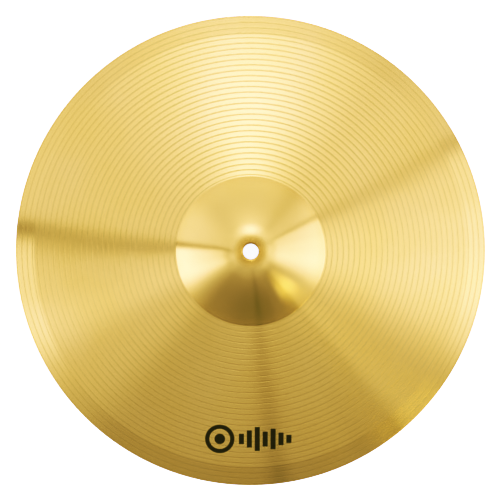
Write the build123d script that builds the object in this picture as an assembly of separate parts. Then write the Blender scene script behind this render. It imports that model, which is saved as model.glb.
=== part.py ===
from build123d import *

import os
from math import cos, radians, sin, sqrt, tan

# A 16 inch crash cymbal: one disc of brass sheet, pressed into a bell and a bow, turned with
# concentric grooves, and printed with a mark near its rim.
#
# Frame: millimetres, +Z up through the mounting hole, origin at the centre of the rim, in the
# plane that the rim rests on. The mark is on the -Y side.

# ---- driving dimensions --------------------------------------------------------------------------
RIM_RADIUS = 203.2           # half of 16 inches
SHEET = 1.0                  # thickness of the brass, the same all over

HOLE_RADIUS = 6.5            # hole that drops over the sleeve of a cymbal stand
SEAT_RADIUS = 11.5           # flat crown round the hole, where the felts bear
SHOULDER_RADIUS = 24.0       # where the bell's tight shoulder runs into its straighter flank
BELL_RADIUS = 63.2           # middle of the crease where the bell meets the bow
BREAK_RADIUS = 186.0         # where the bow bends down into the rim zone

SHOULDER_SLOPE = 20.0        # degrees below level, where the shoulder meets the flank
BELL_FOOT_SLOPE = 41.0       # degrees, at the foot of the bell
BOW_TOP_SLOPE = 6.0          # degrees, just outside the bell
BOW_FOOT_SLOPE = 12.0        # degrees, just inside the rim zone
RIM_SLOPE = 16.5             # degrees, all over the rim zone

CREASE_BEND = 2.0            # radius of the top surface in the crease at the foot of the bell
BREAK_BEND = 10.0            # radius of the top surface where the rim zone starts

GROOVE_PITCH = 4.77          # from one groove to the next, measured level
GROOVE_DEPTH = 0.08
GROOVE_TOOL_RADIUS = 2.5     # round nose of the turning tool
FIRST_BOW_GROOVE = 68.9      # radius of the bow's innermost groove
BOW_GROOVES = 25
FIRST_RIM_GROOVE = 187.6     # radius of the rim zone's innermost groove
RIM_GROOVES = 3
FINE_GROOVE_RADII = (64.8, 201.9)            # a fine groove round the bell's foot, and one at the rim
FINE_GROOVE_DEPTH = 0.05
FINE_GROOVE_TOOL_RADIUS = 2.0

INK = 0.08                   # thickness of the printed film
MARK_CENTRE = (-3.5, -161.5)
ROUNDEL_RADII = (12.5, 9.0, 4.5)             # outside and inside of its ring, and its dot
ROUNDEL_X = -23.0                            # from the mark's centre
BAR_HEIGHTS = (9.0, 15.0, 21.0, 13.0, 18.0, 11.0, 7.0)
BAR_WIDTH = 4.2
BAR_PITCH = 6.8
FIRST_BAR_X = -4.4                           # from the mark's centre


# ---- cross-section -------------------------------------------------------------------------------
def level_share(slope_in, slope_out):
    """Level run of an arc of radius 1 that turns from one slope to another."""
    return abs(sin(radians(slope_out)) - sin(radians(slope_in)))


def fall_share(slope_in, slope_out):
    """Height lost along an arc of radius 1 that turns from one slope to another."""
    return abs(cos(radians(slope_out)) - cos(radians(slope_in)))


HALF_CREASE = CREASE_BEND * level_share(BELL_FOOT_SLOPE, BOW_TOP_SLOPE) / 2
SHOULDER_RUN = SHOULDER_RADIUS - SEAT_RADIUS
FLANK_RUN = BELL_RADIUS - HALF_CREASE - SHOULDER_RADIUS
BOW_RUN = BREAK_RADIUS - HALF_CREASE - BELL_RADIUS
BREAK_RUN = BREAK_BEND * level_share(BOW_FOOT_SLOPE, RIM_SLOPE)
RIM_INSET = SHEET / 2 * (1 - sin(radians(RIM_SLOPE)))    # rounded rim, outside the top surface's end
RIM_RUN = RIM_RADIUS - RIM_INSET - BREAK_RADIUS - BREAK_RUN

# Each bend of the sheet from the seat outwards: radius of its top surface, slope in, slope out.
BENDS = (
    (SHOULDER_RUN / level_share(0, SHOULDER_SLOPE), 0, SHOULDER_SLOPE),
    (FLANK_RUN / level_share(SHOULDER_SLOPE, BELL_FOOT_SLOPE), SHOULDER_SLOPE, BELL_FOOT_SLOPE),
    (CREASE_BEND, BELL_FOOT_SLOPE, BOW_TOP_SLOPE),
    (BOW_RUN / level_share(BOW_TOP_SLOPE, BOW_FOOT_SLOPE), BOW_TOP_SLOPE, BOW_FOOT_SLOPE),
    (BREAK_BEND, BOW_FOOT_SLOPE, RIM_SLOPE),
)
BOW = 4                      # place of the bow among the edges of a surface line

# The crown's height is all that the sheet falls from the seat to the rim's lowest point.
RIM_FALL = RIM_RUN * tan(radians(RIM_SLOPE)) + SHEET / 2 * (1 + cos(radians(RIM_SLOPE)))
CROWN = sum(bend * fall_share(*slopes) for bend, *slopes in BENDS) + RIM_FALL


def sheet_line(depth):
    """Edges of the surface that lies depth below the top one, from the hole to the rim."""
    edges = [Line((HOLE_RADIUS, CROWN - depth), (SEAT_RADIUS, CROWN - depth))]
    for bend, slope_in, slope_out in BENDS:
        last = edges[-1]
        radius = bend - depth if slope_out > slope_in else bend + depth
        edges.append(JernArc(last @ 1, last % 1, radius, arc_size=slope_in - slope_out))
    last = edges[-1]
    edges.append(Line(last @ 1, last @ 1 + (last % 1) * (RIM_RUN / cos(radians(RIM_SLOPE)))))
    return edges


def closed_section(upper, lower, rounded_rim):
    """Face between two surface lines, closed at the hole and at the rim."""
    at_hole = Line(lower[0] @ 0, upper[0] @ 0)
    top, bottom = upper[-1] @ 1, lower[-1] @ 1
    if rounded_rim:
        outwards = upper[-1] % 1
        at_rim = ThreePointArc(top, (top + bottom) * 0.5 + outwards * (SHEET / 2), bottom)
    else:
        at_rim = Line(top, bottom)
    return make_face([at_hole, *upper, at_rim, *lower])


def above_top(upper, radius, height):
    """Point over the bow or rim zone, square off the top surface at a radius from the axis."""
    if radius < BREAK_RADIUS:
        centre, bend = upper[BOW].arc_center, upper[BOW].radius
        point = Vector(radius, centre.Y + sqrt(bend**2 - (radius - centre.X) ** 2))
        return point + (point - centre).normalized() * height
    start, along = upper[-1] @ 0, upper[-1] % 0
    point = start + along * ((radius - start.X) / along.X)
    return point + Vector(-along.Y, along.X) * height


def grooves():
    """Radius, depth and tool radius of every turned groove."""
    on_bow = [FIRST_BOW_GROOVE + GROOVE_PITCH * i for i in range(BOW_GROOVES)]
    on_rim = [FIRST_RIM_GROOVE + GROOVE_PITCH * i for i in range(RIM_GROOVES)]
    turned = [(radius, GROOVE_DEPTH, GROOVE_TOOL_RADIUS) for radius in on_bow + on_rim]
    return turned + [(radius, FINE_GROOVE_DEPTH, FINE_GROOVE_TOOL_RADIUS) for radius in FINE_GROOVE_RADII]


def revolved(section):
    """Solid swept by a section about the hole's axis."""
    return revolve(Plane.XZ * section, axis=Axis.Z)


# ---- sub-parts -----------------------------------------------------------------------------------
def cymbal():
    """The brass disc, with its grooves turned into the top surface."""
    upper = sheet_line(0)
    section = closed_section(upper, sheet_line(SHEET), rounded_rim=True)
    for radius, depth, nose in grooves():
        tool = above_top(upper, radius, nose - depth)
        section -= Pos(tool) * Circle(nose)
    return revolved(section)


def mark_outline():
    """The printed device: a roundel and a row of upright bars."""
    outer, inner, dot = ROUNDEL_RADII
    outline = Pos(ROUNDEL_X, 0) * (Circle(outer) - Circle(inner) + Circle(dot))
    for i, height in enumerate(BAR_HEIGHTS):
        outline += Pos(FIRST_BAR_X + BAR_PITCH * i, 0) * Rectangle(BAR_WIDTH, height)
    return Pos(*MARK_CENTRE) * outline


def printed_mark():
    """Ink film that lies on the lands of the bow and bridges its grooves."""
    film = revolved(closed_section(sheet_line(-INK), sheet_line(0), rounded_rim=False))
    return film & extrude(mark_outline(), amount=CROWN)


os.makedirs("parts", exist_ok=True)
export_step(cymbal(), "parts/cymbal.step")
export_step(printed_mark(), "parts/printed_mark.step")
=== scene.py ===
import math

import bpy
from mathutils import Matrix, Vector


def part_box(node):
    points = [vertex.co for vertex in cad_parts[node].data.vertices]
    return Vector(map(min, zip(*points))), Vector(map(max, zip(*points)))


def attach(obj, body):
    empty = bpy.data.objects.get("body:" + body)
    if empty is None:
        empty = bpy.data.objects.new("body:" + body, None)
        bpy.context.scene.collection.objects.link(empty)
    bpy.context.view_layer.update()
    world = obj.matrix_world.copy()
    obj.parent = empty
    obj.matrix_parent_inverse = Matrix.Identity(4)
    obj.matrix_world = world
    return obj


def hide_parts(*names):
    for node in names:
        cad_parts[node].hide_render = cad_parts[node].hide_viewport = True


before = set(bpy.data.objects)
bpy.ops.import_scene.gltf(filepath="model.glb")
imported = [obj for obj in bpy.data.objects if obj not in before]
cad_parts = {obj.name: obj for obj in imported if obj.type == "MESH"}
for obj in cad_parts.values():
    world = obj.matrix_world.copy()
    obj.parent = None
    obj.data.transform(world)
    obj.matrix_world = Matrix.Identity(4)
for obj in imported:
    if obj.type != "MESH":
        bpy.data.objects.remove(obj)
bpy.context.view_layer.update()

# A 16 inch crash cymbal, lying on its rim on a pale floor and seen from straight above.
# Lengths are in metres and the frame is the CAD model's: +Z up through the mounting hole, the
# printed mark on the -Y side. Angles are in degrees.

MM = 0.001
CYMBAL_LOW, CYMBAL_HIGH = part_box("cymbal")

# ---- the sheet's profile -------------------------------------------------------------------------
RIM_RADIUS = (CYMBAL_HIGH.x - CYMBAL_LOW.x) / 2
CROWN = CYMBAL_HIGH.z
SHEET = 1.0 * MM
HOLE_RADIUS = 6.5 * MM
SEAT_RADIUS = 11.5 * MM
SHOULDER_RADIUS = 24.0 * MM
BELL_RADIUS = 63.2 * MM
BREAK_RADIUS = 186.0 * MM
SHOULDER_SLOPE, BELL_FOOT_SLOPE = 20.0, 41.0
BOW_TOP_SLOPE, BOW_FOOT_SLOPE, RIM_SLOPE = 6.0, 12.0, 16.5
CREASE_BEND = 2.0 * MM
BREAK_BEND = 10.0 * MM
HOLE_EDGE_BREAK = 0.15 * MM  # bevel round both edges of the hole

GROOVE_PITCH = 4.77 * MM
GROOVE_DEPTH = 0.08 * MM
GROOVE_TOOL_RADIUS = 2.5 * MM
FIRST_BOW_GROOVE, BOW_GROOVES = 68.9 * MM, 25
FIRST_RIM_GROOVE, RIM_GROOVES = 187.6 * MM, 3
FINE_GROOVE_RADII = (64.8 * MM, 201.9 * MM)
FINE_GROOVE_DEPTH = 0.05 * MM
FINE_GROOVE_TOOL_RADIUS = 2.0 * MM
GROOVE_RADII = [FIRST_BOW_GROOVE + GROOVE_PITCH * i for i in range(BOW_GROOVES)]
GROOVE_RADII += [FIRST_RIM_GROOVE + GROOVE_PITCH * i for i in range(RIM_GROOVES)]
GROOVES = [(radius, GROOVE_DEPTH, GROOVE_TOOL_RADIUS) for radius in GROOVE_RADII]
GROOVES += [(radius, FINE_GROOVE_DEPTH, FINE_GROOVE_TOOL_RADIUS) for radius in FINE_GROOVE_RADII]

MARK_CENTRE = (-3.5 * MM, -161.5 * MM)
ROUNDEL_RADII = (12.5 * MM, 9.0 * MM, 4.5 * MM)
ROUNDEL_X = -23.0 * MM
BAR_HEIGHTS = (9.0, 15.0, 21.0, 13.0, 18.0, 11.0, 7.0)
BAR_WIDTH = 4.2 * MM
BAR_PITCH = 6.8 * MM
FIRST_BAR_X = -4.4 * MM
INK = 0.06 * MM              # how far the ink stands above the brass, down in the grooves too
INK_STEP = 0.35 * MM         # about the size of the ink's facets
RING_FACETS = 180            # round the roundel's ring

SEGMENTS = 240               # facets round the disc
# Rings of vertices across a groove, as shares of its half width. The outermost two are on the lands.
GROOVE_RINGS = (-1.06, -1, -0.66, -0.33, 0, 0.33, 0.66, 1, 1.06)
SHARP_ANGLE = 50.0           # edges that turn by more than this are shaded sharp


def level_share(slope_in, slope_out):
    """Level run of an arc of radius 1 that turns from one slope to another."""
    return abs(math.sin(math.radians(slope_out)) - math.sin(math.radians(slope_in)))


def make_profile():
    """Stretches of the top surface from the hole out: start radius, end radius, slopes at both."""
    half_crease = CREASE_BEND * level_share(BELL_FOOT_SLOPE, BOW_TOP_SLOPE) / 2
    break_run = BREAK_BEND * level_share(BOW_FOOT_SLOPE, RIM_SLOPE)
    rim_end = RIM_RADIUS - SHEET / 2 * (1 - math.sin(math.radians(RIM_SLOPE)))
    return (
        (HOLE_RADIUS, SEAT_RADIUS, 0.0, 0.0),
        (SEAT_RADIUS, SHOULDER_RADIUS, 0.0, SHOULDER_SLOPE),
        (SHOULDER_RADIUS, BELL_RADIUS - half_crease, SHOULDER_SLOPE, BELL_FOOT_SLOPE),
        (BELL_RADIUS - half_crease, BELL_RADIUS + half_crease, BELL_FOOT_SLOPE, BOW_TOP_SLOPE),
        (BELL_RADIUS + half_crease, BREAK_RADIUS, BOW_TOP_SLOPE, BOW_FOOT_SLOPE),
        (BREAK_RADIUS, BREAK_RADIUS + break_run, BOW_FOOT_SLOPE, RIM_SLOPE),
        (BREAK_RADIUS + break_run, rim_end, RIM_SLOPE, RIM_SLOPE),
    )


PROFILE = make_profile()
SHOULDER, FLANK, CREASE, BOW, BREAK, RIM = PROFILE[1:]


def surface(radius):
    """Height and slope of the ungrooved top surface. Each stretch is an arc or a straight line."""
    height = CROWN
    for start, end, slope_in, slope_out in PROFILE:
        here = min(radius, end)
        sine_in = math.sin(math.radians(slope_in))
        sine_out = math.sin(math.radians(slope_out))
        if slope_in == slope_out:
            slope = math.asin(sine_in)
            height -= (here - start) * math.tan(slope)
        else:
            slope = math.asin(sine_in + (sine_out - sine_in) * (here - start) / (end - start))
            bend = (end - start) / (sine_out - sine_in)
            height -= bend * (math.cos(math.radians(slope_in)) - math.cos(slope))
        if radius <= end:
            break
    return height, slope


def half_width(depth, nose):
    """Half the width of a groove that a round nose cuts to a depth."""
    return math.sqrt(2 * nose * depth - depth**2)


def groove_depth(radius):
    """Depth of the round-bottomed groove at a radius, or 0 on a land."""
    for middle, depth, nose in GROOVES:
        if abs(radius - middle) < half_width(depth, nose):
            return math.sqrt(nose**2 - (radius - middle) ** 2) - (nose - depth)
    return 0.0


def offset_point(radius, above):
    """Point of the section, square off the top surface at a radius. Below it is negative."""
    height, slope = surface(radius)
    return radius + math.sin(slope) * above, height + math.cos(slope) * above


def spread(start, end, count):
    """Evenly spaced radii from start up to, and not including, end."""
    return [start + (end - start) * i / count for i in range(count)]


# ---- mesh work -----------------------------------------------------------------------------------
def new_piece(name, verts, faces, node):
    """Mesh object that rides on the cymbal's body and stands for one CAD node."""
    mesh = bpy.data.meshes.new(name)
    mesh.from_pydata(verts, [], faces)
    mesh.validate()
    mesh.shade_smooth()
    mesh.set_sharp_from_angle(angle=math.radians(SHARP_ANGLE))
    piece = bpy.data.objects.new(name, mesh)
    bpy.context.collection.objects.link(piece)
    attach(piece, "root")
    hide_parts(node)
    return piece


def make_brass_disc():
    """The cymbal: its closed section, turned about the hole's axis, with more rings where it bends."""
    radii = spread(HOLE_RADIUS + HOLE_EDGE_BREAK, SEAT_RADIUS, 3) + spread(*SHOULDER[:2], 12)
    radii += spread(*FLANK[:2], 30) + spread(*CREASE[:2], 6) + [BOW[0]]
    for middle, depth, nose in GROOVES:
        half = half_width(depth, nose)
        radii += [middle + half * share for share in GROOVE_RINGS]
    radii += spread(*BREAK[:2], 4)
    radii = sorted(radii) + [RIM[1]]
    section = [offset_point(radius, -groove_depth(radius)) for radius in radii]

    # Rounded rim, by angle above level
    middle = offset_point(RIM[1], -SHEET / 2)
    for turn in (50, 25, 0, -25, -50, -75):
        angle = math.radians(turn)
        reach, rise = SHEET / 2 * math.cos(angle), SHEET / 2 * math.sin(angle)
        section.append((middle[0] + reach, middle[1] + rise))

    # Plain underside, from the rim back to the hole
    under = spread(RIM[1], RIM[0], 4) + spread(BREAK[1], BREAK[0], 3) + spread(BOW[1], BOW[0], 20)
    under += spread(CREASE[1], CREASE[0], 4) + spread(FLANK[1], FLANK[0], 16)
    under += spread(SHOULDER[1], SHOULDER[0], 8) + spread(SEAT_RADIUS, HOLE_RADIUS, 2)
    section += [offset_point(radius, -SHEET) for radius in under]
    section.append((HOLE_RADIUS + HOLE_EDGE_BREAK, CROWN - SHEET))
    section.append((HOLE_RADIUS, CROWN - SHEET + HOLE_EDGE_BREAK))
    section.append((HOLE_RADIUS, CROWN - HOLE_EDGE_BREAK))

    verts = []
    for radius, height in section:
        for i in range(SEGMENTS):
            angle = 2 * math.pi * i / SEGMENTS
            verts.append((radius * math.cos(angle), radius * math.sin(angle), height))
    faces = []
    for ring in range(len(section)):
        near, far = ring * SEGMENTS, (ring + 1) % len(section) * SEGMENTS
        for i in range(SEGMENTS):
            j = (i + 1) % SEGMENTS
            faces.append((near + i, far + i, far + j, near + j))
    return new_piece("brass_disc", verts, faces, "cymbal")


def steps(start, end):
    """Values from start to end, evenly spaced and about one ink facet apart."""
    count = max(1, round((end - start) / INK_STEP))
    return [start + (end - start) * i / count for i in range(count + 1)]


def grid_faces(columns, rows, closed):
    """Quads over points in columns of rows. A closed grid runs from its last column to its first."""
    faces = []
    for i in range(columns if closed else columns - 1):
        near, far = i * rows, (i + 1) % columns * rows
        faces += [(near + j, far + j, far + j + 1, near + j + 1) for j in range(rows - 1)]
    return faces


def bar_film(middle, height):
    """Plan points and faces of one upright bar."""
    across = steps(middle - BAR_WIDTH / 2, middle + BAR_WIDTH / 2)
    up = steps(-height / 2, height / 2)
    return [(x, y) for x in across for y in up], grid_faces(len(across), len(up), closed=False)


def ring_film(inner, outer):
    """Plan points and faces of the roundel's ring."""
    reach = steps(inner, outer)
    turns = [2 * math.pi * i / RING_FACETS for i in range(RING_FACETS)]
    points = []
    for turn in turns:
        points += [(ROUNDEL_X + r * math.cos(turn), r * math.sin(turn)) for r in reversed(reach)]
    return points, grid_faces(len(turns), len(reach), closed=True)


def dot_film(radius):
    """Plan points and faces of the roundel's dot: a square grid rounded out into a disc."""
    count = 2 * round(radius / INK_STEP)
    shares = [2 * i / count - 1 for i in range(count + 1)]
    points = []
    for u in shares:
        for v in shares:
            x, y = u * math.sqrt(1 - v * v / 2), v * math.sqrt(1 - u * u / 2)
            points.append((ROUNDEL_X + radius * x, radius * y))
    return points, grid_faces(len(shares), len(shares), closed=False)


def make_ink_mark():
    """The printed mark: closed films that follow the brass down into its grooves, half sunk in it."""
    outer, inner, dot = ROUNDEL_RADII
    films = [ring_film(inner, outer), dot_film(dot)]
    films += [bar_film(FIRST_BAR_X + BAR_PITCH * i, height * MM) for i, height in enumerate(BAR_HEIGHTS)]
    verts, faces = [], []
    for points, quads in films:
        for above in (INK, -INK):
            for x, y in points:
                x, y = x + MARK_CENTRE[0], y + MARK_CENTRE[1]
                radius = math.hypot(x, y)
                reach, height = offset_point(radius, above - groove_depth(radius))
                verts.append((x * reach / radius, y * reach / radius, height))
        top = len(verts) - 2 * len(points)
        under = top + len(points)
        edges = {(here, there) for quad in quads for here, there in zip(quad, quad[1:] + quad[:1])}
        outline = sorted((here, there) for here, there in edges if (there, here) not in edges)
        faces += [tuple(top + corner for corner in quad) for quad in quads]
        faces += [tuple(under + corner for corner in reversed(quad)) for quad in quads]
        faces += [(top + there, top + here, under + here, under + there) for here, there in outline]
    return new_piece("ink_mark", verts, faces, "printed_mark")


# ---- materials -----------------------------------------------------------------------------------
BRASS = (1.0, 0.75, 0.387)
TARNISH = (0.99, 0.737, 0.36)
# Painted dark reflection: darker, browner brass round the hole
HOLE_BRASS_PAINTED_DARK = (0.78, 0.54, 0.23, 1)
GRAZING_TINT = (0.9, 0.76, 0.48, 1)           # tint of the brass seen almost edge on
PAINTED_DARK_FROM, PAINTED_DARK_TO = 16 * MM, 7.5 * MM  # radii where the painted dark reflection starts and is complete
# Scales of the noises, per metre
BRUSH_MARKS, BRUSH_SHEEN, TARNISH_PATCHES = 2200, 900, 16
MARK_DEPTH, MARK_STRENGTH = 0.02 * MM, 0.07
SHEEN_SWING = 0.015          # how far the roughness strays either way
# Finishes of the disc: name, roughness, anisotropy, brightness. A brightness under 1 is painted shade
FINISHES = (
    ("lathed_brass", 0.203, 1.0, 1.0),
    ("spun_brass", 0.24, 0.88, 1.0),
    # Painted shade: the grooves' brass is darkened to 0.92 of its colour
    ("groove_brass_painted_shade", 0.25, 1.0, 0.92),
)
SPUN, GROOVED = 1, 2         # places of two of them in that list
INK_SHADES = ((0.021, 0.016, 0.036, 1), (0.030, 0.023, 0.050, 1))
FLOOR_SHADES = ((0.89, 0.89, 0.89, 1), (0.91, 0.91, 0.91, 1))


def new_material(name):
    """Node material that holds just its Principled shader: the material, its tree and the shader."""
    material = bpy.data.materials.new(name)
    material.use_nodes = True
    return material, material.node_tree, material.node_tree.nodes["Principled BSDF"]


def add_node(tree, kind, inputs, **settings):
    """New node with its settings. Its inputs are set to values, or linked to other nodes' outputs."""
    node = tree.nodes.new(kind)
    for name, value in settings.items():
        setattr(node, name, value)
    for name, value in inputs.items():
        if isinstance(value, bpy.types.NodeSocket):
            tree.links.new(value, node.inputs[name])
        else:
            node.inputs[name].default_value = value
    return node


def add_noise(tree, place, scale, low, high):
    """Noise over a place in the object, spread between two values."""
    texture = add_node(tree, "ShaderNodeTexNoise", {"Vector": place, "Scale": scale, "Detail": 3.0})
    levels = {"From Min": 0.3, "From Max": 0.7, "To Min": low, "To Max": high}
    spread_out = add_node(tree, "ShaderNodeMapRange", {"Value": texture.outputs["Fac"], **levels})
    return spread_out.outputs["Result"]


def add_blend(tree, factor, first, second):
    """Colour between two others. A colour mix keeps its sockets for them at places 6 and 7."""
    return add_node(tree, "ShaderNodeMix", {0: factor, 6: first, 7: second}, data_type="RGBA").outputs[2]


def brass_material(name, roughness, anisotropy, painted_shade_brightness):
    """Lacquered brass brushed in circles about the hole: highlights spread across the brush marks."""
    material, tree, shader = new_material(name)
    shader.inputs["Metallic"].default_value = 1.0
    shader.inputs["Anisotropic"].default_value = anisotropy
    shader.inputs["Anisotropic Rotation"].default_value = 0.25  # of a full turn
    shader.inputs["Specular Tint"].default_value = GRAZING_TINT
    tangent = add_node(tree, "ShaderNodeTangent", {}, direction_type="RADIAL", axis="Z")
    tree.links.new(tangent.outputs["Tangent"], shader.inputs["Tangent"])

    place = tree.nodes.new("ShaderNodeTexCoord").outputs["Object"]
    level = add_node(tree, "ShaderNodeVectorMath", {0: place, 1: (1, 1, 0)}, operation="MULTIPLY")
    radius = add_node(tree, "ShaderNodeVectorMath", {0: level.outputs["Vector"]}, operation="LENGTH")
    radius = radius.outputs["Value"]

    # Fine brush marks, the same all the way round
    outwards = add_node(tree, "ShaderNodeCombineXYZ", {"X": radius}).outputs["Vector"]
    marks = add_noise(tree, outwards, BRUSH_MARKS, 0, 1)
    relief = {"Height": marks, "Strength": MARK_STRENGTH, "Distance": MARK_DEPTH}
    bump = add_node(tree, "ShaderNodeBump", relief)
    tree.links.new(bump.outputs["Normal"], shader.inputs["Normal"])
    sheen = add_noise(tree, outwards, BRUSH_SHEEN, roughness - SHEEN_SWING, roughness + SHEEN_SWING)
    tree.links.new(sheen, shader.inputs["Roughness"])

    # Faint tarnish in patches, and a painted dark reflection round the hole: the brass there darker and
    # browner
    # The brightness scales the colour: below 1 it is painted shade in the grooves
    clean, tarnished = ([shade * painted_shade_brightness for shade in colour] + [1] for colour in (BRASS, TARNISH))
    patchy = add_blend(tree, add_noise(tree, place, TARNISH_PATCHES, 0, 1), clean, tarnished)
    reach = {"Value": radius, "From Min": PAINTED_DARK_FROM, "From Max": PAINTED_DARK_TO}
    near_hole = add_node(tree, "ShaderNodeMapRange", reach, interpolation_type="SMOOTHSTEP")
    painted_dark_round_hole = add_blend(tree, near_hole.outputs["Result"], patchy, HOLE_BRASS_PAINTED_DARK)
    tree.links.new(painted_dark_round_hole, shader.inputs["Base Color"])
    return material


def ink_material():
    """Screen-printed black ink, a little uneven."""
    material, tree, shader = new_material("black_ink")
    place = tree.nodes.new("ShaderNodeTexCoord").outputs["Object"]
    film = add_noise(tree, place, 700, 0, 1)
    colour = add_blend(tree, film, *INK_SHADES)
    tree.links.new(colour, shader.inputs["Base Color"])
    tree.links.new(add_noise(tree, place, 1500, 0.48, 0.60), shader.inputs["Roughness"])
    shader.inputs["Specular IOR Level"].default_value = 0.35
    return material


def floor_material():
    """Plain pale floor, matt. It shows as white to the camera, as a lit paper sweep does."""
    material, tree, shader = new_material("pale_floor")
    place = tree.nodes.new("ShaderNodeTexCoord").outputs["Object"]
    mottle = add_noise(tree, place, 40, 0, 1)
    colour = add_blend(tree, mottle, *FLOOR_SHADES)
    tree.links.new(colour, shader.inputs["Base Color"])
    shader.inputs["Roughness"].default_value = 1.0
    shader.inputs["Emission Color"].default_value = (1, 1, 1, 1)
    seen = tree.nodes.new("ShaderNodeLightPath").outputs["Is Camera Ray"]
    tree.links.new(seen, shader.inputs["Emission Strength"])
    return material


# ---- studio --------------------------------------------------------------------------------------
CAMERA_DISTANCE = 1.2
CAMERA_AIM = Vector((-0.5 * MM, 0.7 * MM, 0))
CAMERA_LEAN = (-0.15, 0.6)   # from straight above, towards +X and +Y
RIM_SHARE = 0.9392           # of the frame's width


def make_camera():
    """Camera almost straight above the cymbal, with its top towards +Y."""
    data = bpy.data.cameras.new("camera")
    data.sensor_width = 36
    data.lens = data.sensor_width * CAMERA_DISTANCE * RIM_SHARE / (2 * RIM_RADIUS)
    camera = bpy.data.objects.new("camera", data)
    lean = Vector((*(math.tan(math.radians(angle)) for angle in CAMERA_LEAN), 1))
    back = lean.normalized()
    right = Vector((0, 1, 0)).cross(back).normalized()
    rotation = Matrix((right, back.cross(right), back)).transposed()
    camera.matrix_world = Matrix.Translation(CAMERA_AIM + lean * CAMERA_DISTANCE) @ rotation.to_4x4()
    bpy.context.collection.objects.link(camera)
    bpy.context.scene.camera = camera


# Light tent round the cymbal, as seen from its centre. Azimuths run from +X towards +Y, zenith
# angles from overhead down. A panel: azimuth from and to, softness of those two edges, zenith angle
# from and to, softness there, strength. The kicker is a golden one.
PANELS = (
    ("dome", -180, 180, 0, 0, -5, 19, 4, 0.73),
    ("dome_south", 228, 300, 12, 12, 4, 18, 4, -0.41),
    ("north_lobe", 51, 123, 42, 38, 8, 33, 6, 0.54),
    ("north_peak", 82, 102, 22, 22, 8, 34, 4, 0.42),
    ("north_wall", 19, 178, 9, 2, 18, 100, 8, 0.69),
    ("north_dim", 60, 135, 12, 12, 52, 66, 5, -0.06),
    ("north_west", 140, 178, 14, 2, 50, 100, 10, 0.12),
    ("north_low", 62, 178, 15, 2, 70, 100, 6, 0.12),
    ("right_wall", -21, 20, 18, 13, 25, 100, 8, 1.04),
    ("right_high", -14, 18, 15, 13, 7, 22, 5, 0.47),
    ("right_low", -40, 40, 20, 16, 72, 100, 6, 0.30),
    ("left_wall", 178, 210, 2, 13, 28, 100, 8, 0.82),
    ("left_deep", 178, 212, 2, 13, 44, 100, 6, 0.22),
    ("left_high", 178, 208, 2, 12, 8, 24, 5, 0.34),
    ("left_low", 178, 223, 2, 13, 72, 100, 6, 0.50),
    ("left_gap_low", 173.5, 177, 1.5, 1.5, 74, 100, 4, -0.35),
    ("left_gap_middle", 173.5, 177.5, 1.5, 1.5, 34, 46, 4, -0.35),
    ("left_gap_high", 177.5, 182, 2, 2, 10, 31, 4, -0.28),
    ("south_wall", 216, 306, 8, 12, 18, 100, 9, 0.18),
    ("south_middle", 216, 306, 8, 12, 28, 46, 6, 0.16),
    ("south_high", 218, 306, 11, 13, 16, 33, 6, 0.20),
    ("south_low", 222, 252, 8, 14, 52, 100, 8, 0.07),
    ("strip", 291, 306, 4, 4, 48, 100, 6, 0.07),
    ("kicker", 303, 324, 4.5, 4.5, 56, 63, 4, 2.4),
    ("kicker_shade", 306, 324, 4, 4, 34, 48, 4, -0.10),
    ("southeast", 309, 349, 6, 15, 16, 100, 8, 0.45),
    ("southeast_high", 301, 312, 4, 4, 13, 31, 5, 0.13),
    ("southwest", 200, 225, 10, 11, 21, 71, 4, 0.26),
)
# Seams between the tent's panels: azimuth overhead and at the walls, half width, softness, darkness.
# They bend round a zenith angle, and take in more azimuth overhead, where the azimuths draw together.
SEAMS = (
    ("left", 180.3, 175, 1.5, 1.5, 0.66),
    ("right", 22.8, 27.2, 1.4, 2.2, 0.52),
    ("north_east", 52, 52, 6, 10, 0.13),
    ("north_west", 135, 135, 10, 15, 0.05),
    ("south", 276, 277.5, 1.5, 2, 0.42),
    ("south_east", 309, 309, 1, 1, 0.3),
    ("east", 323, 325, 1, 3, 0.05),
)
SEAM_BEND, SEAM_BEND_SOFTNESS = 31.5, 4.5
SEAM_WIDENING = 1.8          # seams widen where this times the sine of the zenith angle is under 1
AMBIENT = 0.10
GOLD = (1.0, 0.87, 0.38, 1)
BACKDROP = 1.5               # what the camera sees beyond the floor


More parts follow.
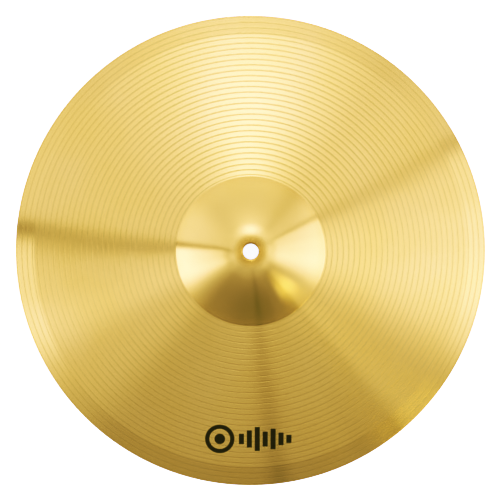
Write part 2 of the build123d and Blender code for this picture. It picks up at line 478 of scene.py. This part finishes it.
def make_studio():
    """The light tent, as a world of soft panels and seams, and a white backdrop for the camera."""
    world = bpy.data.worlds.new("studio")
    world.use_nodes = True
    bpy.context.scene.world = world
    tree = world.node_tree
    nodes, links = tree.nodes, tree.links
    background = nodes["Background"]
    direction = nodes.new("ShaderNodeTexCoord").outputs["Generated"]

    def math_node(operation, *values):
        node = nodes.new("ShaderNodeMath")
        node.operation = operation
        for socket, value in zip(node.inputs, values):
            if isinstance(value, (int, float)):
                socket.default_value = value
            else:
                links.new(value, socket)
        return node.outputs[0]

    def ramp(value, middle, soft):
        """Rises from 0 to 1 across a middle angle, or falls where soft is negative."""
        node = nodes.new("ShaderNodeMapRange")
        node.interpolation_type = "SMOOTHSTEP"
        links.new(value, node.inputs["Value"])
        node.inputs["From Min"].default_value = math.radians(middle - soft)
        node.inputs["From Max"].default_value = math.radians(middle + soft)
        return node.outputs["Result"]

    def azimuth_from(middle):
        """Azimuth of the direction, counted from a middle one so that it is continuous there."""
        rotate = nodes.new("ShaderNodeVectorRotate")
        rotate.rotation_type = "Z_AXIS"
        rotate.inputs["Angle"].default_value = -math.radians(middle)
        links.new(direction, rotate.inputs["Vector"])
        split = nodes.new("ShaderNodeSeparateXYZ")
        links.new(rotate.outputs[0], split.inputs[0])
        return math_node("ARCTAN2", split.outputs["Y"], split.outputs["X"])

    separate = nodes.new("ShaderNodeSeparateXYZ")
    links.new(direction, separate.inputs[0])
    zenith = math_node("ARCCOSINE", separate.outputs["Z"])

    narrowing = math_node("MULTIPLY", math_node("SINE", zenith), SEAM_WIDENING)
    narrowing = math_node("MINIMUM", narrowing, 1.0)
    light = AMBIENT
    for name, start, end, start_soft, end_soft, top, bottom, soft, strength in PANELS:
        glow = math_node("MULTIPLY", ramp(zenith, top, soft), ramp(zenith, bottom, -soft))
        if end - start < 360:
            azimuth = azimuth_from((start + end) / 2)
            half = (end - start) / 2
            glow = math_node("MULTIPLY", glow, ramp(azimuth, -half, start_soft))
            glow = math_node("MULTIPLY", glow, ramp(azimuth, half, -end_soft))
        light = math_node("MULTIPLY_ADD", glow, strength, light)
        if name == "kicker":
            links.new(add_blend(tree, glow, (1, 1, 1, 1), GOLD), background.inputs["Color"])
    overhead_share = ramp(zenith, SEAM_BEND, -SEAM_BEND_SOFTNESS)
    for _, overhead, wall, half, soft, darkness in SEAMS:
        bend = math_node("MULTIPLY", overhead_share, math.radians(overhead - wall))
        off = math_node("ABSOLUTE", math_node("SUBTRACT", azimuth_from(wall), bend))
        off = math_node("MULTIPLY", off, narrowing)
        shade = math_node("MULTIPLY_ADD", ramp(off, half, -soft), -darkness, 1.0)
        light = math_node("MULTIPLY", light, shade)

    seen = nodes.new("ShaderNodeLightPath").outputs["Is Camera Ray"]
    mix = nodes.new("ShaderNodeMix")
    links.new(seen, mix.inputs["Factor"])
    links.new(light, mix.inputs["A"])
    mix.inputs["B"].default_value = BACKDROP
    links.new(mix.outputs["Result"], background.inputs["Strength"])


def make_floor():
    """Plain floor that the rim rests on."""
    reach = 20.0
    corners = [(-reach, -reach, 0), (reach, -reach, 0), (reach, reach, 0), (-reach, reach, 0)]
    mesh = bpy.data.meshes.new("floor")
    mesh.from_pydata(corners, [], [(0, 1, 2, 3)])
    floor = bpy.data.objects.new("floor", mesh)
    bpy.context.collection.objects.link(floor)
    floor.data.materials.append(floor_material())


# Film response: pairs of scene light and display light. Red and green share one curve.
WARM = ((0.237, 0.128), (0.316, 0.217), (0.422, 0.37), (0.5625, 0.558), (0.75, 0.768), (1.0, 0.947))
BLUE = ((0.14, 0.023), (0.22, 0.073), (0.29, 0.165), (0.35, 0.29), (0.42, 0.475), (0.5, 0.64),
        (0.65, 0.83), (1.0, 0.97))
FILM_WHITE = 1.33            # scene light that shows as full white


def set_film():
    """Gives the picture the contrast of the film response."""
    view = bpy.context.scene.view_settings
    view.view_transform = "Standard"
    view.use_curve_mapping = True
    tone = view.curve_mapping
    tone.white_level = (FILM_WHITE, FILM_WHITE, FILM_WHITE)
    for curve, points in zip(tone.curves, (WARM, WARM, BLUE)):
        for light, shown in points:
            curve.points.new(light / FILM_WHITE, shown)
    tone.update()


def finish_disc(disc):
    """Brass finishes: lathed all over, but spun on the bell, and rougher in the grooves, with painted
    shade darkening them.
    """
    for finish in FINISHES:
        disc.data.materials.append(brass_material(*finish))
    for face in disc.data.polygons:
        radius = math.hypot(face.center.x, face.center.y)
        if radius < CREASE[0]:
            face.material_index = SPUN
        elif face.normal.z > 0 and groove_depth(radius) > 0:
            face.material_index = GROOVED


set_film()
make_camera()
make_studio()
make_floor()
finish_disc(make_brass_disc())
make_ink_mark().data.materials.append(ink_material())
